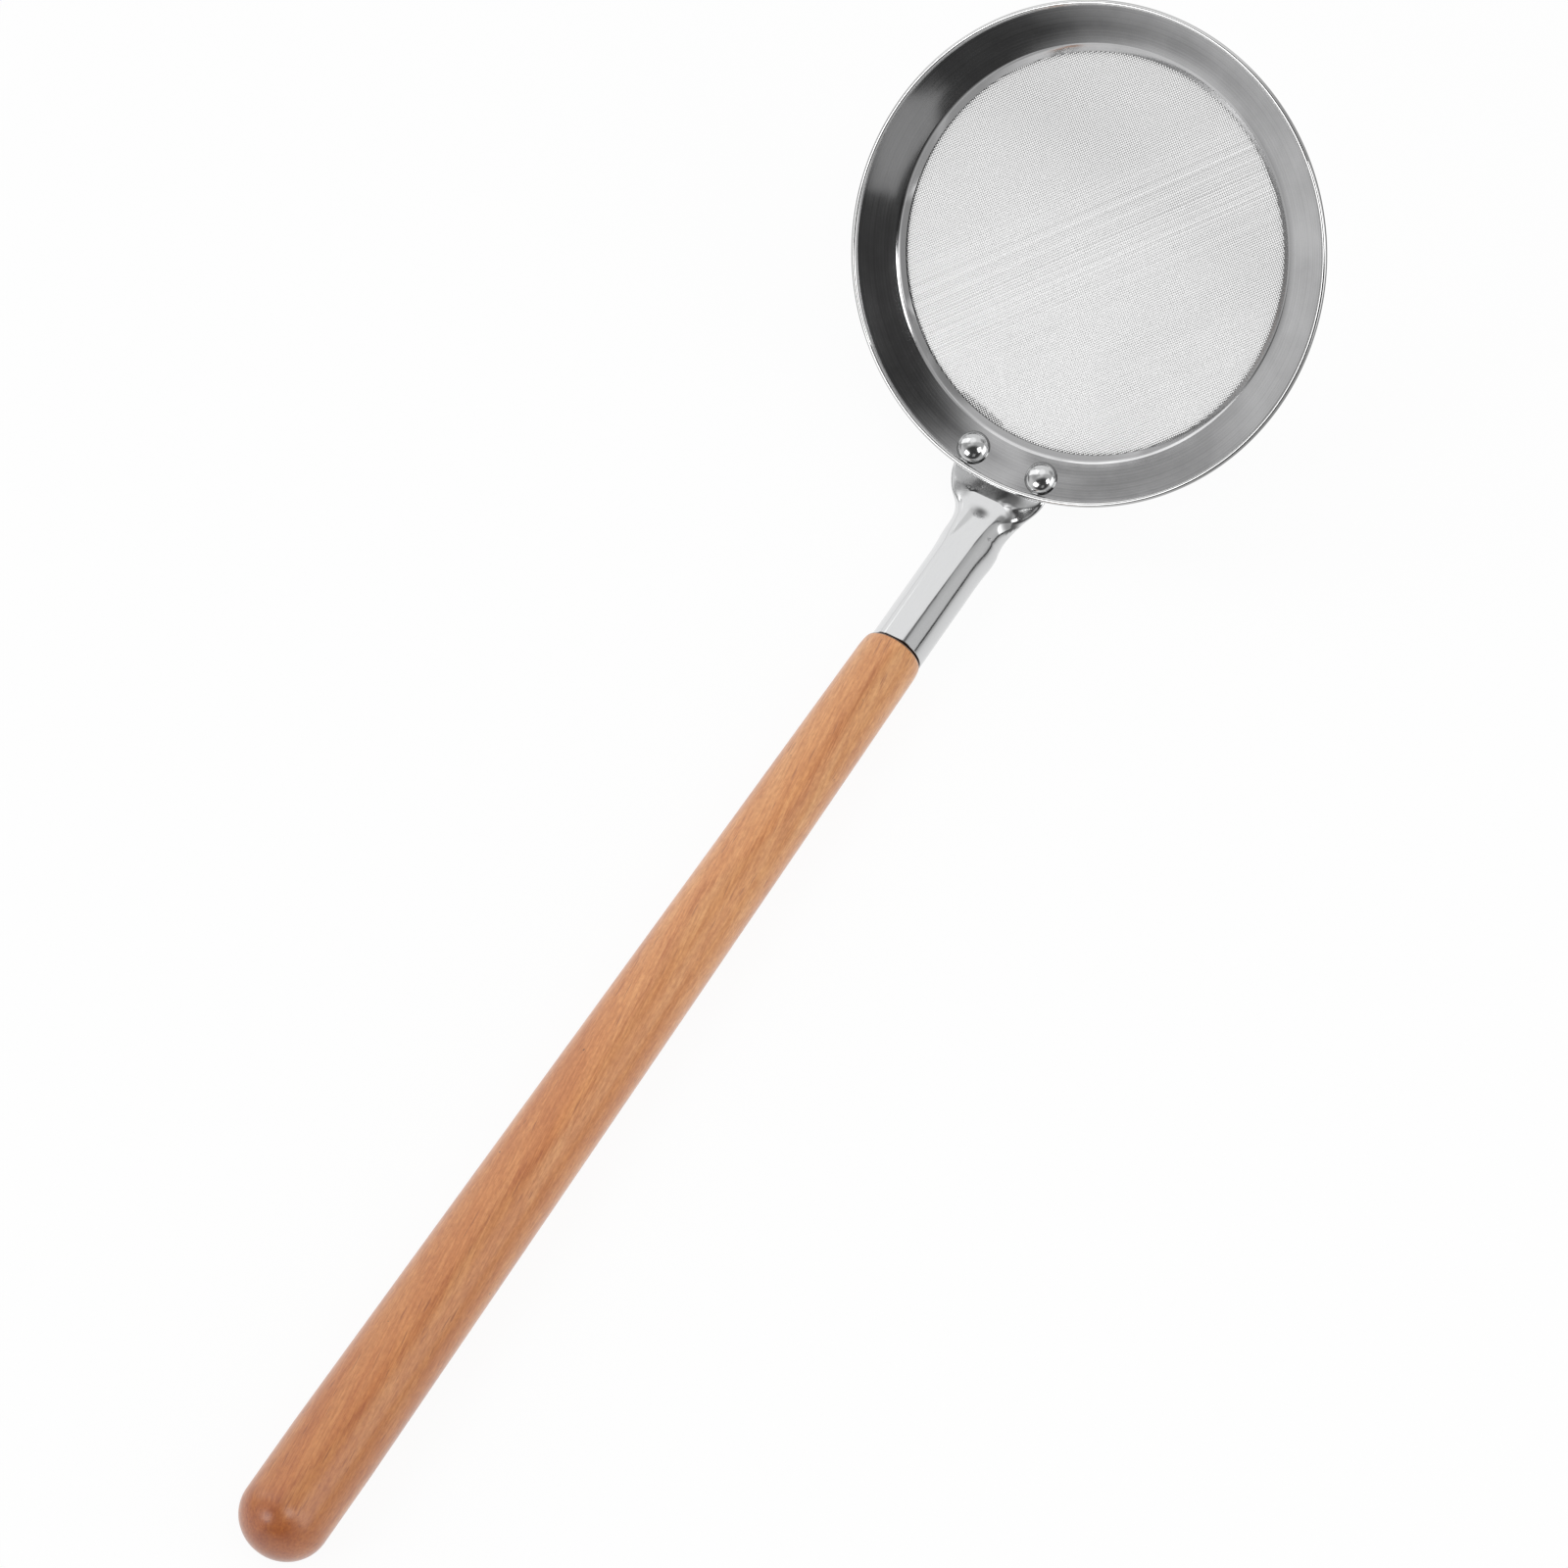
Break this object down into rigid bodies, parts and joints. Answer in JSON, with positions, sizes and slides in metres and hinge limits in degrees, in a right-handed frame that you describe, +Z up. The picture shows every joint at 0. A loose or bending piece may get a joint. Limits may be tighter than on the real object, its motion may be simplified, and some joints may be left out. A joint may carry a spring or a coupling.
{
  "type": "oil skimmer",
  "caption": "Long-handled skimmer: a shallow round steel pan with a fine mesh floor, on a riveted ferrule with a turned wooden handle, for lifting oil and foam off a pot.",
  "frame": {"origin": "on the table that the skimmer lies on, under the middle of its plan view", "axes": "+Z up from the table; +Y along the handle, from the butt towards the pan, which is tipped up; X is square to the plane of symmetry"},
  "size_m": [0.13, 0.4472, 0.1013],
  "materials": {
    "pan_steel": "satin",
    "mesh_steel": "woven wire",
    "polished_steel": "polished",
    "beech": "semi-gloss lacquer"
  },
  "bodies": {
    "root": {"strainer_frame": "pan_steel", "mesh_disc": "mesh_steel", "mesh_ring": "pan_steel", "rivet_left": "polished_steel", "rivet_right": "polished_steel", "ferrule": "polished_steel", "handle": "beech"}
  },
  "joints": []
}
